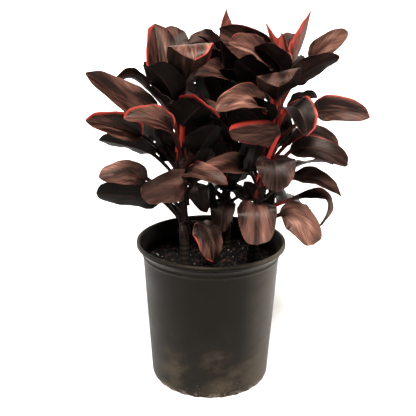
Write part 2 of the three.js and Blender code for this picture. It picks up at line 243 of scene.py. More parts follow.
leaf = {
    "rowsInFront": 84,
    "rowsBehind": 56,
    "across": 16,
    "stalkShare": 0.28,  # of the rows
    "stalkThickness": 2.6,
    "bladeThickness": 0.9,
    "rootHalfWidth": 12,
    "rootLength": 0.65,  # of the stalk, where its clasping root narrows
    "stalkHalfWidth": 5.5,
    "stalkFold": 40,
    "stalkCurl": 25,
    "openBy": 0.3,  # of the blade, where the stalk's channel has opened out
    "climb": 0.42,
    "rollFrom": -0.8,
    "rollOver": 1.1,
    "baseTaper": 0.95,
    "tipTaper": 0.42,
    "outlineSkew": 0.92,
    "pointFrom": 0.92,
    "bluntPointFrom": 0.975,
    "pointCurve": 1.25,
    "tipHalfWidth": 0.9,
    "waves": 2.5,
    "ripples": 37,
    "ripple": 0.45,
    "groove": 0.7,
    "grooveWidth": 1.6,
    "fainterBlush": 0.3,  # on the other margin
}

# What the leaves of each kind share
frontLeaf = {"wave": 1.5}
backLeaf = {"curl": 0, "lip": 0, "arch": 8, "wave": 2}
youngLeaf = {
    "reach": 12,
    "roll": 0,
    "curl": 15,
    "lip": 0,
    "arch": 0,
    "wave": 0.6,
    "tipTaper": 1,
    "tone": 0.46,
    "blush": 0.95,
    "redness": 0.8,
}
youngAboveCrown = 8.3

# One leaf to a line: height on the stem, start of the blade, tip, then width, reach, roll, fold, curl,
# lip, arch, and its colouring: tone from dark to taupe, blush at the far margin, redness of the stalk.
# The tone is partly the leaf's own and partly painted: darker on leaves that sit in shade, paler on those
# that catch a sheen.
# A blush below zero is on the near margin. A last value, below or above the leaf dictionary's tip taper,
# stands where the end is blunter or more pointed than the others.
rowNames = ("height", "start", "tip", "width", "reach", "roll", "fold", "curl", "lip", "arch")
rowNames += ("tone", "blush", "redness", "tipTaper")
leavesInFront = {
    "left": [
        (380, (-95, -25, 457), (-191, -45, 527), 58, 0, 58, 28, 5, 0, 6, 0.6, 0.1, 0.2),
        (405, (-97, 5, 490), (-150, -5, 501), 32, 50, 10, 35, 50, 0, 16, 0.75, 0.1, 0.1),
        # This leaf's wide coral far margin is partly its red margin and partly a painted glow of light
        # through the leaf.
        (330, (-112, -20, 426), (-194, -50, 457), 58, 20, 40, 15, 15, 70, 5, 0.55, 1.0, 0.2),
        (362, (-62, -50, 438), (-131, -80, 466), 50, 25, 60, 10, 12, 50, 14, 0.75, 0.75, 0.3),
        (318, (-92, -8, 390), (-180, -25, 422), 56, 28, -50, 12, 10, 0, 0, 0.25, 0.05, 0.1, 0.3),
        (272, (-104, -20, 354), (-180, -35, 363), 46, 28, 48, 10, 25, 0, 10, 0.75, 0.05, 0.1),
        (256, (-80, -5, 311), (-190, -15, 331), 63, 18, -72, 8, 8, 0, 0, 0.2, 0, 0.1, 0.25),
        (300, (-38, -46, 348), (-110, -56, 337), 60, 28, 64, 3, -20, 0, 38, 1, 0.05, 0.1, 0.25),
        (447, (-79, 0, 508), (-93, 22, 597), 76, 8, 28, 18, 25, 0, 14, 0.7, -1.05, 0.6),
        (430, (-83, 5, 496), (-108, 10, 540), 32, 10, 20, 20, 0, 0, 0, 0.2, 0.1, 0.3),
        (470, (-58, 20, 540), (-82, 58, 587), 54, 40, 0, 12, 0, 0, 10, 0.55, 0.1, 0.4),
        (425, (-42, -42, 512), (-26, -118, 553), 68, 80, 0, 2, -5, 0, 26, 0.9, 0.75, 0.5),
        (415, (-58, -42, 484), (-94, -76, 541), 56, 30, -10, 15, 10, 0, 8, 0.2, 0.2, 0.5),
        (400, (-42, -46, 476), (10, -85, 468), 44, 20, 12, 25, 30, 0, 6, 0.45, -0.95, 1),
        (372, (-69, -40, 474), (-102, -45, 509), 46, 15, 20, 12, 0, 0, 0, 0.5, 0.1, 0.5),
        (385, (-46, -42, 446), (-10, -72, 490), 66, 12, -10, 12, 0, 0, 6, 0.1, 0.1, 0.8),
        (318, (-40, -50, 373), (24, -90, 368), 38, 25, 45, 12, 15, 0, 8, 0.7, 0.4, 0.2),
        (262, (-18, -60, 294), (3, -85, 241), 52, 25, 0, 5, -20, 0, 12, 0.68, -0.6, 0.1),
        (345, (-28, -35, 400), (8, -58, 452), 66, 20, -10, 12, 0, 0, 6, 0.1, 0.1, 0.3),
        (296, (-30, -34, 350), (0, -46, 412), 54, 20, -10, 12, 0, 0, 6, 0.1, 0.1, 0.2),
        (326, (-68, -4, 380), (-92, 2, 434), 60, 15, 0, 12, 0, 0, 4, 0.1, 0.1, 0.1),
        (328, (-42, 24, 366), (-34, 10, 444), 58, 15, 0, 12, 0, 0, 4, 0.12, 0.05, 0.1),
    ],
    "right": [
        (468, (112, 12, 546), (108, 55, 578), 50, 32, 0, 12, 0, 0, 0, 0.75, 0.2, 0.5),
        (455, (148, -15, 546), (199, -36, 590), 36, 20, 62, 12, 15, 0, 6, 0.9, 0.1, 0.4, 0.35),
        (425, (120, -32, 506), (184, -62, 555), 42, 20, -45, 12, 12, 0, 12, 0.65, 0.1, 0.5),
        (458, (104, -40, 528), (60, -62, 569), 42, 15, -32, 12, 8, 0, 8, 0.4, 0.15, 0.8),
        (410, (97, -46, 482), (90, -119, 518), 66, 76, 0, 2, -5, 0, 24, 0.7, 0.1, 0.95),
        (465, (84, 6, 545), (9, -14, 593), 60, 28, 48, 12, 15, 20, 11, 0.66, 0.5, 0.7),
        (450, (82, -34, 532), (22, -72, 574), 58, 20, 50, 12, 15, 20, 14, 0.9, 0.5, 0.6),
        (391, (118, -20, 468), (161, -35, 492), 38, 25, 0, 20, 30, 0, 0, 0.3, 0.1, 0.4),
        (380, (112, -52, 472), (140, -84, 442), 54, 32, 10, 12, 8, 0, 14, 0.2, 0.8, 0.6),
        (370, (158, 0, 460), (246, -26, 461), 45, 28, 50, 15, 10, 0, 17, 0.6, 0.72, 0.4),
        (345, (124, -12, 416), (200, -30, 412), 32, 42, 44, 15, 8, 0, 16, 0.45, 0.4, 0.5),
        (325, (122, -44, 407), (208, -66, 396), 40, 28, 50, 10, 12, 0, 20, 0.5, 0.5, 0.5, 0.3),
        (295, (124, -30, 358), (206, -52, 338), 36, 38, 35, 15, 15, 0, 12, 0.6, 0.05, 0.2, 0.9),
        (276, (116, -20, 316), (179, -18, 279), 27, 104, 25, 22, 10, 0, 12, 0.85, 0.05, 0.6, 0.35),
        (320, (92, -64, 397), (97, -101, 360), 62, 30, 0, 8, -12, 0, 8, 0.62, 0.1, 0.5),
        (355, (104, -48, 436), (24, -98, 452), 56, 20, 46, 10, 20, 80, -14, 0.95, 1.5, 1, 0.3),
        (405, (76, -45, 470), (5, -92, 480), 56, 40, 48, 12, 25, 60, 14, 0.9, 0.4, 0.6),
        (305, (60, -20, 370), (-17, -56, 380), 46, 15, 22, 15, 25, 20, 10, 0.75, 0.1, 0.2),
        (258, (71, -60, 324), (72, -99, 275), 62, 34, 0, 8, -22, 0, 20, 0.8, 0.02, 0.1, 0.25),
        (250, (112, -24, 297), (168, -50, 258), 50, 32, 56, 8, 5, 0, 14, 0.9, 0.1, 0.3, 0.25),
        (430, (88, -30, 500), (34, -50, 548), 66, 15, -20, 12, 0, 0, 4, 0.15, 0.1, 0.6),
        (376, (82, -36, 446), (34, -58, 484), 64, 15, -5, 12, 0, 0, 4, 0.1, 0.1, 0.7),
        (350, (108, 10, 402), (120, 14, 466), 60, 15, -10, 12, 0, 0, 4, 0.1, 0.1, 0.8),
        (312, (69, -6, 366), (70, -20, 426), 58, 15, 0, 12, 0, 0, 4, 0.1, 0.1, 0.3),
        (256, (97, 2, 298), (104, -8, 356), 24, 15, 0, 25, 0, 0, 0, 0.15, 0.1, 0.8),
        (270, (72, -4, 314), (54, -10, 352), 28, 15, 0, 15, 0, 0, 4, 0.15, 0.05, 0.2),
    ],
    "middle": [
        (475, (8, 12, 560), (-38, -8, 570), 40, 15, 68, 12, 15, 0, 10, 0.65, 0.1, 0.4),
        (440, (20, 12, 518), (10, -4, 574), 60, 15, 0, 15, 0, 0, 0, 0.15, 0.1, 0.4),
        (415, (24, 5, 508), (-28, -32, 524), 54, 18, 66, 12, 20, 20, 12, 0.7, 0.1, 0.4),
        (395, (13, 10, 488), (58, -16, 514), 60, 20, -20, 12, 0, 0, 8, 0.2, 0.1, 0.4),
        (350, (33, 20, 428), (-2, -10, 432), 54, 15, 20, 12, 0, 0, 10, 0.25, 0.15, 0.3),
        (262, (24, 38, 298), (16, 4, 254), 44, 20, 0, 8, -10, 0, 12, 0.6, 0.05, 0.1),
        (268, (11, 60, 305), (58, 40, 327), 28, 40, 0, 12, 0, 0, 0, 0.3, 0.05, 0.1),
        (275, (-17, 12, 337), (-7, -5, 296), 35, 25, 0, 12, 0, 0, 0, 0.3, 0.05, 0.1),
        (266, (33, 45, 317), (63, 20, 305), 34, 20, 20, 10, 0, 0, 0, 0.2, 0.05, 0.1),
        (352, (10, 20, 398), (-9, -6, 460), 70, 15, 0, 10, 0, 0, 0, 0.1, 0.1, 0.3),
        (316, (32, 24, 360), (30, 2, 416), 76, 15, 0, 10, 0, 0, 0, 0.15, 0.1, 0.2),
        (352, (42, 26, 408), (55, 4, 484), 66, 15, 0, 10, 0, 0, 0, 0.15, 0.1, 0.3),
        (392, (8, 12, 454), (-18, -10, 527), 60, 15, 0, 12, 0, 0, 4, 0.15, 0.1, 0.3),
        (452, (1, 18, 526), (-34, 4, 582), 54, 15, 0, 12, 0, 0, 4, 0.15, 0.1, 0.3),
        (290, (8, 34, 336), (-26, 12, 368), 50, 15, 0, 12, 0, 0, 4, 0.15, 0.05, 0.1),
        (285, (41, 36, 332), (60, 22, 368), 52, 15, 0, 12, 0, 0, 4, 0.15, 0.05, 0.1),
        (322, (-2, 14, 378), (-20, 4, 452), 78, 15, 0, 12, 0, 0, 4, 0.12, 0.05, 0.1),
        (380, (6, 16, 424), (0, 2, 492), 52, 15, 0, 12, 0, 0, 4, 0.12, 0.05, 0.1),
        (318, (56, 30, 366), (64, 14, 434), 52, 15, 0, 12, 0, 0, 4, 0.12, 0.05, 0.1),
        (256, (2, 28, 288), (-3, 14, 346), 28, 15, 0, 20, 0, 0, 4, 0.15, 0.05, 0.1),
    ],
}

# Height on the stem, direction, stalk and blade lengths, the slopes of both, and the width.
leavesBehind = {
    "left": [
        (262, 122, 66, 95, 35, -15, 50),
        (285, 92, 70, 98, 42, -5, 54),
        (312, 112, 72, 92, 50, 8, 48),
        (345, 135, 74, 84, 58, 22, 46),
        (372, 82, 60, 78, 50, 34, 54),
        (408, 112, 74, 88, 62, 25, 50),
        (440, 75, 64, 82, 66, 36, 46),
    ],
    "right": [
        (262, 45, 68, 96, 35, -18, 52),
        (290, 86, 70, 90, 42, -6, 50),
        (318, 25, 70, 92, 44, 2, 48),
        (345, 65, 76, 98, 50, 10, 54),
        (375, 50, 70, 86, 56, 16, 50),
        (410, 88, 72, 88, 62, 24, 50),
        (442, 60, 66, 82, 66, 34, 46),
    ],
    "middle": [
        (258, 110, 66, 96, 35, -18, 52),
        (272, 20, 60, 80, 38, -12, 46),
        (300, 70, 72, 98, 42, -6, 52),
        (325, 140, 68, 84, 46, 4, 48),
        (350, 40, 70, 88, 50, 8, 50),
        (380, 95, 78, 98, 54, 14, 54),
        (408, 160, 66, 84, 60, 18, 48),
        (435, 60, 72, 88, 62, 28, 50),
        (462, 115, 68, 84, 66, 36, 46),
        (485, 75, 58, 70, 68, 42, 40),
    ],
}

# The young leaves: foot, tip, width and fold.
leavesYoung = {
    "left": [((-47, -17, 540), (-44, -20, 572), 18, 50)],
    "right": [
        ((123, -15, 544), (146, -20, 621), 40, 36),
        ((103, 4, 542), (81, 12, 600), 32, 46),
        ((111, -10, 546), (104, -10, 588), 26, 40),
    ],
    "middle": [((14, 34, 560), (20, 33, 621), 74, 34)],
}


def axisPoint(stem, z):
    t = (z - soilLevel) / (stem["crown"][2] - soilLevel)
    foot, crown = stem["foot"], stem["crown"]
    return Vector((mix(foot[0], crown[0], t), mix(foot[1], crown[1], t), z))


# A curve from a to c that leaves and arrives towards b
def bend(a, b, c, t):
    return a * (1 - t) ** 2 + b * (2 * t * (1 - t)) + c * (t * t)


# A unit vector, from a direction round the stem and a slope in degrees
def heading(direction, slope):
    flat = math.cos(math.radians(slope))
    turn = math.radians(direction)
    return Vector((flat * math.cos(turn), flat * math.sin(turn), math.sin(math.radians(slope))))


# Gives each place on a midrib its frame, carried along from the root: the right side and the upper face
def turnStations(places, values, across, hand, roll):
    side = across
    stations = []
    for i, at in enumerate(places):
        ahead = (places[min(i + 1, len(places) - 1)] - places[max(i - 1, 0)]).normalized()
        side = (side - ahead * side.dot(ahead)).normalized()
        turn = -hand * math.radians(roll) * smooth((values[i] - leaf["rollFrom"]) / leaf["rollOver"])
        turned = Quaternion(ahead, turn) @ side
        stations.append((at, turned, ahead.cross(turned)))
    return stations


# The midrib as stations of place, side and up; s is -1 at the root, 0 where the blade starts, 1 at the tip
def layMidrib(shape, values):
    root, start, tip = shape["root"], shape["start"], shape["tip"]
    out = start - root
    stalkBend = root + shape["climb"] * (leaf["climb"] * out.length)
    bladeBend = start + (start - stalkBend).normalized() * shape["reach"]
    hand = 1 if out.x < 0 else -1  # which way the leaf rolls, so that it opens to the outside
    across = Vector((-out.y, out.x, 0)).normalized()
    places = [
        bend(root, stalkBend, start, s + 1) if s < 0 else bend(start, bladeBend, tip, s)
        for s in values
    ]
    stations = turnStations(places, values, across, hand, shape["roll"])
    for i, s in enumerate(values):
        places[i] = places[i] + stations[i][2] * (3 * shape["arch"] * max(s, 0) ** 2 * (1 - s))
    return turnStations(places, values, across, hand, shape["roll"]), hand


# Half the width when flattened: the clasping root, the stalk, and the blade's outline
def halfWidthAt(s, width, tipTaper):
    if s < 0:
        return mix(leaf["rootHalfWidth"], leaf["stalkHalfWidth"], smooth((s + 1) / leaf["rootLength"]))
    taper = mix(leaf["baseTaper"], tipTaper, smooth(2 * s))
    pointFrom = leaf["bluntPointFrom"] if tipTaper < leaf["tipTaper"] else leaf["pointFrom"]
    outline = width / 2 * math.sin(math.pi * min(s, pointFrom) ** leaf["outlineSkew"]) ** taper
    if s > pointFrom:  # runs out to a short point
        run = (s - pointFrom) / (1 - pointFrom)
        outline = mix(outline, leaf["tipHalfWidth"], run ** leaf["pointCurve"])
    return max(leaf["stalkHalfWidth"] if s < 0.5 else leaf["tipHalfWidth"], outline)


# Lays a flat grid along the midrib, and keeps on each corner where it lies and how its leaf is coloured
def growLeaf(bm, shape, rows, rng):
    laid = bm.verts.layers.float_vector["laid"]
    tint = bm.verts.layers.float_vector["tint"]
    weights = bm.verts.layers.deform.verify()
    made = bmesh.ops.create_grid(bm, x_segments=rows, y_segments=leaf["across"], size=1)["verts"]
    columns = sorted({round(vert.co.x, 4) for vert in made})
    share = leaf["stalkShare"]
    values = []
    for x in columns:
        t = (x + 1) / 2
        values.append(t / share - 1 if t < share else (t - share) / (1 - share))
    stations, hand = layMidrib(shape, values)
    byColumn = dict(zip(columns, zip(values, stations)))
    stalkLength = (shape["start"] - shape["root"]).length
    bladeLength = (shape["tip"] - shape["start"]).length
    phase = rng.uniform(0, 6.28)
    blush = shape["blush"]
    for vert in made:
        s, (at, side, up) = byColumn[round(vert.co.x, 4)]
        v = vert.co.y
        reach = abs(v)
        way = 1 if v > 0 else -1
        part = smooth(s / leaf["openBy"])
        half = halfWidthAt(s, shape["width"], shape["tipTaper"])
        lip = shape["lip"] if way * hand < 0 else 0
        fold = math.radians(mix(leaf["stalkFold"], shape["fold"], part))
        curl = math.radians(mix(leaf["stalkCurl"], shape["curl"] + lip, part)) or 1e-6
        across = half * (math.sin(fold + curl * reach) - math.sin(fold)) / curl
        rise = half * (math.cos(fold) - math.cos(fold + curl * reach)) / curl
        rise += shape["wave"] * math.sin(leaf["waves"] * 2 * math.pi * s + way * 1.3) * reach ** 2 * part
        ripple = leaf["ripple"] * math.sin(leaf["ripples"] * s + way * 2 + phase)
        rise += ripple * reach ** 4 * part * smooth((1 - s) / 0.2)
        groove = math.exp(-((half * v / leaf["grooveWidth"]) ** 2))
        rise -= leaf["groove"] * part * groove * smooth((1 - s) / 0.3)
        vert.co = (at + side * (way * across) + up * rise) * mm
        vert[laid] = (s * (stalkLength if s < 0 else bladeLength), half * v, half * (1 - reach))
        faint = smooth(0.5 + v * hand * math.copysign(1, blush))
        shown = abs(blush) * mix(0.8, 1, max(s, 0)) * mix(1, leaf["fainterBlush"], faint)
        vert[tint] = (shape["tone"], shown, shape["redness"])
        vert[weights][0] = mix(1, leaf["bladeThickness"] / leaf["stalkThickness"], part)


def leafShape(stem, height, start, tip, **others):
    root = axisPoint(stem, height)
    return {
        "root": root,
        "climb": (axisPoint(stem, height + 1) - root).normalized(),
        "start": Vector(start),
        "tip": Vector(tip),
        "tipTaper": leaf["tipTaper"],
        **others,
    }


# The leaves in front come from their rows, and those behind are turned and folded a little differently each
def foliageOf(stemName, rng):
    stem = stems[stemName]
    shapes = []
    for row in leavesInFront[stemName]:
        made = leafShape(stem, **dict(zip(rowNames, row)), **frontLeaf)
        shapes.append((made, leaf["rowsInFront"]))
    for i, (height, direction, stalk, blade, rise, droop, width) in enumerate(leavesBehind[stemName]):
        start = axisPoint(stem, height) + heading(direction, rise) * stalk
        made = leafShape(
            stem,
            height,
            start,
            tip=start + heading(direction, droop) * blade,
            width=width,
            reach=0.4 * blade,
            roll=24 * math.sin(2.4 * i + 0.7),
            fold=14 + 6 * math.sin(1.7 * i),
            redness=rng.uniform(0.3, 0.9) * smooth((height - 290) / 150),  # redder in the crown
            # kept dark: painted shade for leaves in the shade of those in front
            tone=rng.uniform(0.1, 0.55),
            blush=rng.uniform(0.05, 0.3),
            **backLeaf,
        )
        shapes.append((made, leaf["rowsBehind"]))
    return shapes


def youngOf(stemName):
    stem = stems[stemName]
    shapes = []
    for start, tip, width, fold in leavesYoung[stemName]:
        height = stem["crown"][2] + youngAboveCrown
        made = leafShape(stem, height, start, tip, width=width, fold=fold, **youngLeaf)
        shapes.append((made, leaf["rowsBehind"]))
    return shapes


def leafPiece(name, shapes, looks, node, rng):
    bm = bmesh.new()
    bm.verts.layers.float_vector.new("laid")
    bm.verts.layers.float_vector.new("tint")
    for shape, rows in shapes:
        growLeaf(bm, shape, rows, rng)
    piece = addPiece(name, bm, looks, [node])
    thick = piece.vertex_groups.new(name="thick")
    shell = piece.modifiers.new("thickness", "SOLIDIFY")
    shell.thickness = leaf["stalkThickness"] * mm
    shell.offset = -1
    shell.vertex_group = thick.name
    shell.material_offset = 1
    shell.use_even_offset = True
    shell.thickness_clamp = 1
    applyModifiers(piece, 45)
    return piece


# What the leaves are coloured by: where each point lies on its blade, and its leaf's tint, whose tone holds
# painted shade and sheen as well

def leafLook(name, settings):
    constants = {
        "IOR": 1.28,
        "Specular IOR Level": settings["gloss"],
        "Specular Tint": (1, 0.82, 0.74, 1),
        "Coat Roughness": 0.3,
        "Coat IOR": 1.3,
    }
    look = Look(name, constants)
    along, across, edge = look.split(look.attribute("laid"))
    tone, blush, redness = look.split(look.attribute("tint"))
    place = look.place()
    onBlade = along.ease(-6, 8)
    vein = across.size() * 0.93 - along * 0.36  # lines that leave the midrib at 21 degrees
    streaks = look.grain(look.vector(vein * 0.5, along * 0.03, tone * 40), 1.0, 3.0, 0.6)
    patches = look.grain(look.vector(along * 0.026, across * 0.06, tone * 50 + blush * 9), 1.0, 2.0)
    fine = (vein / settings["veinPitch"]).wave()
    # The tone, mottled by streaks and long patches that also paint sheen along the veins
    depth = tone + (streaks - 0.5) * 0.75 + (patches - 0.5) * 1.4 + (fine - 0.5) * 0.08
    depth = depth - (1 - along.ease(0, settings["shadeTo"])) * settings["shade"]  # painted shade at the foot of the blade; below zero it lightens it
    depth = depth - (1 - across.size().ease(0, 9)) * 0.12  # painted shade in the channel along the midrib
    colour = look.ramp(depth * 0.7, settings["blade"])
    midrib = (1 - across.size().ease(0.3, 1.9)) * onBlade
    colour = look.blend(midrib * settings["ribShow"], colour, settings["rib"])
    stalkColour = look.ramp(redness + (streaks - 0.5) * 0.5, settings["stalk"])
    colour = look.blend(onBlade, stalkColour, colour)
    squared = blush * blush
    wide = squared * (streaks - 0.25) * 14
    margin = 1 - edge.ease(0.3, 1.2 + wide + squared * squared * 7)
    patchy = look.grain(place, 0.055, 2.0, 0.5).ease(0.62 - 0.4 * blush, 0.74 - 0.3 * blush)
    margin = margin * onBlade * blush * (0.15 + 0.85 * patchy) * settings["marginShow"]
    colour = look.blend(margin, colour, settings["margin"])
    roughness = settings["roughness"] + (streaks - 0.5) * 0.5 + (patches - 0.5) * 0.5
    if settings["coat"]:
        look.join(settings["coat"] * (0.2 + tone) * (0.4 + streaks), look.shader.inputs["Coat Weight"])
    height = fine * 0.5 + streaks * 2.2 - midrib * 0.5
    return look.finish(colour, roughness, height, settings["relief"])


# The ramps go from dark to lit; the palest stop of the upper face is a painted sheen
leafColours = {
    "upper": {
        "blade": [
            (0.06, (0.0012, 0.0007, 0.0005)),
            (0.35, (0.0108, 0.0036, 0.0028)),
            (0.66, (0.132, 0.057, 0.041)),
            (0.95, (0.49, 0.27, 0.195)),
        ],
        "rib": (0.12, 0.045, 0.03),
        "ribShow": 0.2,
        "stalk": [
            (0.2, (0.006, 0.003, 0.0025)),
            (0.5, (0.07, 0.013, 0.011)),
            (0.85, (0.72, 0.065, 0.048)),
        ],
        "margin": (0.62, 0.075, 0.056),
        "marginShow": 1,
        "shade": 0.4,
        "shadeTo": 60,
        "roughness": 0.5,
        "gloss": 0.6,
        "coat": 0.1,
        "relief": 0.2,
        "veinPitch": 1.3,
    },
    "under": {
        "blade": [
            (0.06, (0.0008, 0.0005, 0.0004)),
            (0.35, (0.003, 0.0015, 0.0012)),
            (0.66, (0.022, 0.009, 0.007)),
            (0.95, (0.08, 0.04, 0.03)),
        ],
        "rib": (0.04, 0.014, 0.011),
        "ribShow": 0.25,
        "stalk": [
            (0.2, (0.005, 0.0025, 0.002)),
            (0.5, (0.05, 0.011, 0.009)),
            (0.85, (0.58, 0.05, 0.038)),
        ],
        "margin": (0.5, 0.04, 0.03),
        "marginShow": 0.4,
        "shade": 0.3,
        "shadeTo": 40,
        "roughness": 0.55,
        "gloss": 0.2,
        "coat": 0,
        "relief": 0.2,
        "veinPitch": 1.3,
    },
    "young": {
        "blade": [
            (0.06, (0.02, 0.006, 0.005)),
            (0.3, (0.1, 0.026, 0.02)),
            (0.5, (0.3, 0.085, 0.06)),
            (0.8, (0.6, 0.28, 0.2)),
        ],
        "rib": (0.6, 0.14, 0.1),
        "ribShow": 0.5,
        "stalk": [(0.2, (0.1, 0.014, 0.011)), (0.8, (0.42, 0.045, 0.035))],
        "margin": (0.55, 0.06, 0.045),
        "marginShow": 1,
        "shade": -0.1,
        "shadeTo": 40,
        "roughness": 0.45,
        "gloss": 0.7,
        "coat": 0.15,
        "relief": 0.16,
        "veinPitch": 1.2,
    },
}

upperLook = leafLook("leaf_upper_face", leafColours["upper"])
underLook = leafLook("leaf_lower_face", leafColours["under"])
youngLook = leafLook("young_leaf", leafColours["young"])

rng = random.Random(417)
for stemName in stems:
    looks = [upperLook, underLook]
    shapes = foliageOf(stemName, rng)
    leafPiece(f"leaves_{stemName}", shapes, looks, f"foliage_{stemName}", rng)
    looks = [youngLook, youngLook]
    shapes = youngOf(stemName)
    leafPiece(f"young_leaves_{stemName}", shapes, looks, f"new_leaves_{stemName}", rng)
print("leaves done")


# Canes, and the stems that go on from them into the leaves

cane = {
    "radius": 8.9,
    "foot": 169,
    "top": 245,
    "scarPitch": 9,
    "scarDepth": 0.9,
    "colours": [
        (0.2, (0.004, 0.003, 0.002)),
        (0.55, (0.016, 0.011, 0.007)),
        (0.9, (0.06, 0.042, 0.026)),
    ],
    # Painted light and shade on each cane's bark: below 1 darkens it as shade, above 1 pales it as light
    "paintedLightAndShade": {"left": 0.45, "right": 2.4, "middle": 1.2},
    "stemBottomRadius": 8.8,
    "stemTopRadius": 4,
    "stemAboveCrown": 22,
    "stemScarPitch": 6,
    "stemScarDepth": 0.6,
    "stemColours": [
        (0.2, (0.004, 0.003, 0.002)),
        (0.6, (0.014, 0.007, 0.006)),
        (0.9, (0.05, 0.016, 0.012)),
    ],
    "sides": 40,
    "unevenness": 0.05,
    "lumpScale": 90,
}


# Each scar stands out at its lower edge, and fades within a quarter of the pitch
def ringedProfile(low, high, radiusLow, radiusHigh, pitch, depth):
    points = [(0, low)]
    steps = int(high - low)
    for i in range(steps + 1):
        z = mix(low, high, i / steps)
        turn = ((z - soilLevel) / pitch) % 1
        scar = depth * (1 - smooth(turn / 0.25)) * smooth(turn / 0.06)
        points.append((mix(radiusLow, radiusHigh, i / steps) - depth + scar, z))
    points.append((0, high))
    return points


# Carries an upright shape over to the stem's own slanting axis
def standOnAxis(bm, stem):
    for vert in bm.verts:
        at = axisPoint(stem, vert.co.z / mm)
        bump = 1 + cane["unevenness"] * noise.noise(vert.co * cane["lumpScale"])
        vert.co = Vector((vert.co.x * bump + at.x * mm, vert.co.y * bump + at.y * mm, vert.co.z))


def barkLook(name, stops, ringPitch):
    look = Look(name, {"Specular IOR Level": 0.15})
    place = look.place()
    x, y, z = look.split(place)
    rings = ((z - soilLevel) / ringPitch).wave()
    fibres = look.grain(look.vector(x, y, z * 0.12), 0.5, 4.0, 0.6)
    patches = look.grain(place, 0.06, 2.0)
    colour = look.ramp(rings * 0.25 + fibres * 0.6 + (patches - 0.3) * 0.5, stops)
    return look.finish(colour, 0.6 + fibres * 0.35, fibres * 2 + rings * 0.4, 0.5)


caneLooks = {}
for stemName, paintedLightAndShade in cane["paintedLightAndShade"].items():
    stops = [(position, [paintedLightAndShade * channel for channel in colour]) for position, colour in cane["colours"]]
    caneLooks[stemName] = barkLook(f"ringed_bark_painted_light_and_shade_{stemName}", stops, cane["scarPitch"])
stemLook = barkLook("leafy_stem", cane["stemColours"], cane["stemScarPitch"])

for stemName, stem in stems.items():
    bm = bmesh.new()
    radius = cane["radius"]
    profile = ringedProfile(cane["foot"], cane["top"], radius, radius, cane["scarPitch"], cane["scarDepth"])
    spinProfile(bm, profile, cane["sides"])
    standOnAxis(bm, stem)
    addPiece(f"ringed_cane_{stemName}", bm, [caneLooks[stemName]], [f"cane_{stemName}"])
    bm = bmesh.new()
    profile = ringedProfile(
        cane["top"],
        stem["crown"][2] + cane["stemAboveCrown"],
        cane["stemBottomRadius"],
        cane["stemTopRadius"],
        cane["stemScarPitch"],
        cane["stemScarDepth"],
    )
    spinProfile(bm, profile, cane["sides"])
    standOnAxis(bm, stem)
    addPiece(f"leafy_stem_{stemName}", bm, [stemLook])
print("canes done")


# Pot

pot = {
    "footRadius": 103.5,
    "shoulderRadius": 116,
    "shoulderHeight": 224,
    "wall": 2,
    "floor": 3,
    "steps": 168,
    "arches": 28,  # of the scalloped foot
    "archHeight": 4.5,
    "archInside": 99.5,
    "archRun": 2.5,
    "drainHoles": 6,
    "drainHoleRadius": 7,
    "drainHoleCircle": 78,
    "colours": [
        (0.1, (0.002, 0.0016, 0.001)),
        (0.55, (0.005, 0.004, 0.0025)),
        (1.0, (0.034, 0.026, 0.017)),
    ],
}


def potWall(z):
    return mix(pot["footRadius"], pot["shoulderRadius"], z / pot["shoulderHeight"])


def potProfile():
    foot = [(0, 0), (60, 0), (98.5, 0), (100.6, 0), (102.2, 0.3), (103.2, 1.4), (potWall(4), 4)]
    wall = [(potWall(z), z) for z in (8, 20, 60, 100, 140, 180, 210, 220)]
    bead = [(116.1, 222.6), (117.0, 223.8), (117.5, 225.2), (117.3, 226.6), (116.8, 227.8)]
    flare = [(117.0, 229.6), (117.9, 232.4), (119.6, 235.4), (122.2, 238.2), (124.6, 239.8)]
    lip = [(126.1, 240.5), (126.9, 241.4), (126.9, 242.4), (126.3, 243.3), (126.2, 244.4)]
    lip += [(126.7, 245.5), (126.5, 246.8), (125.6, 247.7), (124.3, 248), (122.9, 247.6), (121.9, 246.5)]
    inside = [(121.0, 243.6), (119.9, 239.6), (118.0, 234.5), (115.8, 229), (114.2, 224), (114, 220)]
    down = [(potWall(z) - pot["wall"], z) for z in (180, 140, 100, 60, 20, 5)]
    floor = [(101.0, 3.2), (99, pot["floor"]), (0, pot["floor"])]
    return foot + wall + bead + flare + lip + inside + down + floor


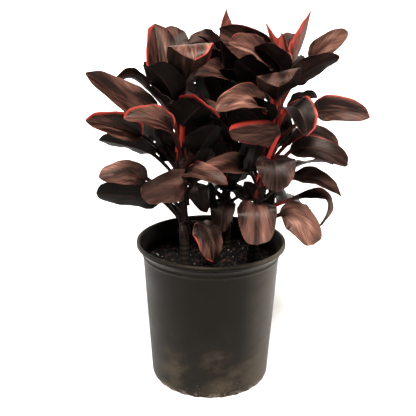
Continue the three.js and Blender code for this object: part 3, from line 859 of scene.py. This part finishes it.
def potLook():
    look = Look("moulded_pot", {"Specular IOR Level": 0.12, "Specular Tint": (1, 0.93, 0.84, 1)})
    place = look.place()
    x, y, z = look.split(place)
    fine = look.grain(place, 0.9, 4.0, 0.6)
    broad = look.grain(place, 0.018, 3.0, 0.55)
    drag = look.grain(look.vector(x * 0.45, y * 0.45, z - x * 0.3), 0.055, 4.0, 0.6)
    # Paler towards the foot, from dust and from painted light bounced off the floor, and mottled
    dustAndPaintedLight = (1 - z.ease(-30, 215)) * 0.75 + (broad - 0.45) * 1.3 + (drag - 0.5) * 0.8 + (fine - 0.5) * 0.55
    dustAndPaintedLight = dustAndPaintedLight - x.band((-15, 15), (45, 80)) * z.ease(110, 190) * 0.25  # painted shade on the upper middle
    dustAndPaintedLight = dustAndPaintedLight + z.ease(244, 246) * 0.6  # painted highlight on the top of the lip
    dustAndPaintedLight = dustAndPaintedLight + z.band((221, 224), (227, 229)) * 0.45  # painted highlight on the bead
    dustAndPaintedLight = dustAndPaintedLight - z.band((229, 231), (242, 244)) * 0.5  # painted shade on the flare between them
    colour = look.ramp(dustAndPaintedLight, pot["colours"])
    scratch = look.grain(look.vector(x * 0.25 + z * 0.9, y * 0.3, z * 0.25 - x * 0.4), 0.9, 2.0, 0.7)
    scuffs = scratch.ease(0.66, 0.74) * broad.ease(0.5, 0.62) * (1 - z.ease(90, 150))
    specks = look.grain(place, 0.45, 1.0).ease(0.7, 0.78) * (1 - z.ease(5, 45))
    # A paler, warmer right side: painted light, broken up with dust
    rightSideLightAndDust = x.ease(45, 112) * (1 - y.ease(-30, 40) * 0.85) * (0.25 + broad * 0.7 + (drag - 0.5) * 1.1)
    colour = look.blend(rightSideLightAndDust * 0.95, colour, (0.075, 0.063, 0.046))
    colour = look.blend(scuffs * 0.4, colour, (0.2, 0.18, 0.15))
    crust = look.grain(place, 0.11, 4.0, 0.7).ease(0.44, 0.62) * (1 - z.ease(2, 12))
    colour = look.blend(specks * 0.5, colour, (0.3, 0.26, 0.2))
    colour = look.blend(crust * 0.6, colour, (0.24, 0.19, 0.155))
    roughness = 0.42 + dustAndPaintedLight * 0.2 + (fine - 0.5) * 0.15
    return look.finish(colour, roughness, fine * 0.6 + broad * 2 + drag, 0.25)


# Lifts the rim of the underside into arches, and leaves the floor inside flat
def scallopFoot(bm):
    for vert in bm.verts:
        radius = math.hypot(vert.co.x, vert.co.y) / mm
        atFoot = vert.co.z < 3.5 * mm and radius > 100
        outside = radius > 102 or vert.co.z < 1 * mm
        if atFoot and outside:
            turn = math.atan2(vert.co.y, vert.co.x) * pot["arches"]
            lift = smooth(0.5 - 0.75 * math.cos(turn))
            lift *= smooth((radius - pot["archInside"]) / pot["archRun"])
            low = smooth((4 * mm - vert.co.z) / (3 * mm))
            vert.co.z += pot["archHeight"] * lift * mm * low


bm = bmesh.new()
spinProfile(bm, potProfile(), pot["steps"])
scallopFoot(bm)
potPiece = addPiece("nursery_pot", bm, [potLook()], ["pot"], 50)

cutters = bmesh.new()
for i in range(pot["drainHoles"]):
    turn = 2 * math.pi * (i + 0.5) / pot["drainHoles"]
    centre = Vector((math.cos(turn), math.sin(turn), 0)) * pot["drainHoleCircle"] * mm
    bmesh.ops.create_cone(
        cutters,
        cap_ends=True,
        segments=28,
        radius1=pot["drainHoleRadius"] * mm,
        radius2=pot["drainHoleRadius"] * mm,
        depth=20 * mm,
        matrix=Matrix.Translation(centre),
    )
cutterMesh = bpy.data.meshes.new("drain_cutters")
cutters.to_mesh(cutterMesh)
cutters.free()
cutter = bpy.data.objects.new("drain_cutters", cutterMesh)
bpy.context.scene.collection.objects.link(cutter)
drain = potPiece.modifiers.new("drain", "BOOLEAN")
drain.operation = "DIFFERENCE"
drain.solver = "EXACT"
drain.object = cutter
applyModifiers(potPiece, 50)
bpy.data.objects.remove(cutter)
print("pot done")


# Potting mix, with its bark and its pale grains

soil = {
    "radius": 112.9,
    "bottomRadius": 101.2,
    "bottom": 3.3,
    "mound": 5,
    "lump": 1.6,
    "calmEdge": 6,
    "rings": 70,
    "steps": 220,
    "colours": [
        (0.3, (0.001, 0.0007, 0.0007)),
        (0.55, (0.002, 0.0015, 0.0013)),
        (0.8, (0.008, 0.005, 0.0035)),
    ],
    "scatterRadius": 108,
    "chips": 320,
    "chipSizes": [(3, 11), (2, 5), (0.8, 2.4)],
    "chipColours": [
        (0.1, (0.0015, 0.001, 0.001)),
        (0.6, (0.006, 0.004, 0.003)),
        (1.0, (0.04, 0.014, 0.009)),
    ],
    "grains": 120,
    "grainSizes": [(1, 3.2), (1, 3), (0.8, 2.4)],
    "grainColours": [
        (0.1, (0.06, 0.05, 0.04)),
        (0.6, (0.2, 0.18, 0.15)),
        (1.0, (0.6, 0.56, 0.5)),
    ],
}


# The mounded, lumpy top of the mix, and the crumbs on it from coarse to fine
def soilTop(x, y):
    r = math.hypot(x, y) / pot["shoulderRadius"]
    lumps = math.sin(x * 0.11 + 1.3) * math.cos(y * 0.13) + 0.6 * math.sin((x - y) * 0.19)
    return soilLevel + soil["mound"] * (0.5 - r * r) + soil["lump"] * lumps * (1 - r)


def crumbs(x, y):
    coarse = noise.noise(Vector((x, y, 3)) * 0.16) * 1.6
    middling = noise.noise(Vector((x, y, 9)) * 0.42) * 1.1
    return coarse + middling + abs(noise.noise(Vector((x, y, 17)) * 0.9)) * 1.2


def soilLook():
    look = Look("potting_mix", {"Specular IOR Level": 0.1})
    place = look.place()
    crumb = look.grain(place, 0.35, 5.0, 0.7)
    fleck = look.grain(place, 1.1, 2.0, 0.5)
    damp = look.grain(place, 0.03, 2.0)
    colour = look.ramp(crumb + (damp - 0.5) * 0.3, soil["colours"])
    colour = look.blend(fleck.ease(0.68, 0.76) * 0.5, colour, (0.12, 0.09, 0.065))
    return look.finish(colour, 0.75 + crumb * 0.2, crumb * 2 + fleck, 0.9)


# Bark chips and pale grains, each scrap with its own shade
def scrapLook(name, stops, roughness):
    look = Look(name, {"Specular IOR Level": 0.3})
    tint = look.split(look.attribute("tint"))[0]
    place = look.place()
    fibre = look.grain(place, 0.7, 3.0, 0.6)
    colour = look.ramp(tint + (fibre - 0.5) * 0.5, stops)
    return look.finish(colour, roughness + (fibre - 0.5) * 0.2, fibre, 0.4)


bm = bmesh.new()
profile = [(0, soil["bottom"]), (soil["bottomRadius"], soil["bottom"])]
profile += [(soil["radius"] * (1 - i / soil["rings"]), soilLevel) for i in range(soil["rings"] + 1)]
spinProfile(bm, profile, soil["steps"])
for vert in bm.verts:
    if vert.co.z > 100 * mm:  # the upper face
        x, y = vert.co.x / mm, vert.co.y / mm
        edge = smooth((soil["radius"] - math.hypot(x, y)) / soil["calmEdge"])
        vert.co.z = (soilTop(x, y) + crumbs(x, y) * edge) * mm
addPiece("potting_mix", bm, [soilLook()], ["soil"], 60)


# Lays small shapes on the mix, each turned, tilted and made uneven a little
def scatter(name, count, sizes, shapeOf, look, rng):
    bm = bmesh.new()
    tint = bm.verts.layers.float_vector.new("tint")
    for _ in range(count):
        radius = soil["scatterRadius"] * math.sqrt(rng.random())
        turn = rng.uniform(0, 2 * math.pi)
        x, y = radius * math.cos(turn), radius * math.sin(turn)
        size = Vector([rng.uniform(*span) for span in sizes])
        settled = Vector((x, y, soilTop(x, y) + crumbs(x, y) + size.z * 0.15))
        made = shapeOf(bm)
        turned = Matrix.Rotation(rng.uniform(0, 6.28), 4, "Z")
        turned = turned @ Matrix.Rotation(rng.uniform(-0.5, 0.5), 4, "X")
        turned = turned @ Matrix.Rotation(rng.uniform(-0.4, 0.4), 4, "Y")
        shade = rng.random()
        for vert in made:
            rough = Vector([rng.uniform(0.75, 1.15) for _ in range(3)])
            local = Vector([c * s * r for c, s, r in zip(vert.co, size, rough)])
            vert.co = (turned @ local + settled) * mm
            vert[tint] = (shade, 0, 0)
    return addPiece(name, bm, [look], (), 30)


def chipShape(bm):
    return bmesh.ops.create_cube(bm, size=1)["verts"]


def grainShape(bm):
    return bmesh.ops.create_icosphere(bm, subdivisions=1, radius=0.5)["verts"]


rng = random.Random(93)
chipLook = scrapLook("bark_chips", soil["chipColours"], 0.9)
grainLook = scrapLook("pale_grains", soil["grainColours"], 0.85)
scatter("bark_chips", soil["chips"], soil["chipSizes"], chipShape, chipLook, rng)
scatter("pale_grains", soil["grains"], soil["grainSizes"], grainShape, grainLook, rng)
print("potting mix done")


# Floor, light and camera

stage = {  # in metres
    "halfWidth": 6.0,
    "front": -3.0,
    "back": 2.2,
    "bend": 1.2,
    "bendSteps": 12,
    "rise": 4.0,
    "colour": (0.94, 0.94, 0.94, 1),
}

look = Look("pale_floor", {"Base Color": stage["colour"], "Roughness": 0.9, "Specular IOR Level": 0.1})
bm = bmesh.new()
profile = [(stage["front"], 0), (stage["back"], 0)]
for i in range(1, stage["bendSteps"] + 1):
    turn = math.pi / 2 * i / stage["bendSteps"]
    profile.append((stage["back"] + stage["bend"] * math.sin(turn), stage["bend"] * (1 - math.cos(turn))))
profile.append((stage["back"] + stage["bend"], stage["rise"]))
verts = [bm.verts.new((-stage["halfWidth"], y, z)) for y, z in profile]
edges = [bm.edges.new(pair) for pair in zip(verts, verts[1:])]
swept = bmesh.ops.extrude_edge_only(bm, edges=edges)["geom"]
moved = [item for item in swept if isinstance(item, bmesh.types.BMVert)]
bmesh.ops.translate(bm, vec=(2 * stage["halfWidth"], 0, 0), verts=moved)
mesh = bpy.data.meshes.new("backdrop")
bm.to_mesh(mesh)
bm.free()
mesh.shade_smooth()
mesh.materials.append(look.material)
backdrop = bpy.data.objects.new("backdrop", mesh)
bpy.context.scene.collection.objects.link(backdrop)

light = {
    "sky": 0.1,
    "skyColour": (0.95, 0.98, 1.0),
    "key": 7.5,
    "keyColour": (1.0, 0.95, 0.9),
    "keySoftness": 24,
    "keyTilt": 36,
    "keyTurn": 0,
}
world = bpy.data.worlds.new("studio")
bpy.context.scene.world = world
world.use_nodes = True
background = world.node_tree.nodes["Background"]
background.inputs["Color"].default_value = (*light["skyColour"], 1)
background.inputs["Strength"].default_value = light["sky"]

lamp = bpy.data.lights.new("key", "SUN")
lamp.energy = light["key"]
lamp.color = light["keyColour"]
lamp.angle = math.radians(light["keySoftness"])
lampObject = bpy.data.objects.new("key", lamp)
lampObject.rotation_euler = (math.radians(light["keyTilt"]), 0, math.radians(light["keyTurn"]))
bpy.context.scene.collection.objects.link(lampObject)

view = {"place": (-5.7, -973, 617), "tiltDown": 17.94, "roll": 0.5, "lens": 52.64, "sensorWidth": 36}
camera = bpy.data.cameras.new("camera")
camera.lens = view["lens"]
camera.sensor_width = view["sensorWidth"]
cameraObject = bpy.data.objects.new("camera", camera)
turned = Matrix.Rotation(math.radians(90 - view["tiltDown"]), 4, "X")
turned = turned @ Matrix.Rotation(math.radians(view["roll"]), 4, "Z")
cameraObject.matrix_world = Matrix.Translation(Vector(view["place"]) * mm) @ turned
bpy.context.scene.collection.objects.link(cameraObject)
bpy.context.scene.camera = cameraObject
bpy.context.scene.view_settings.view_transform = "Standard"
print("stage done")
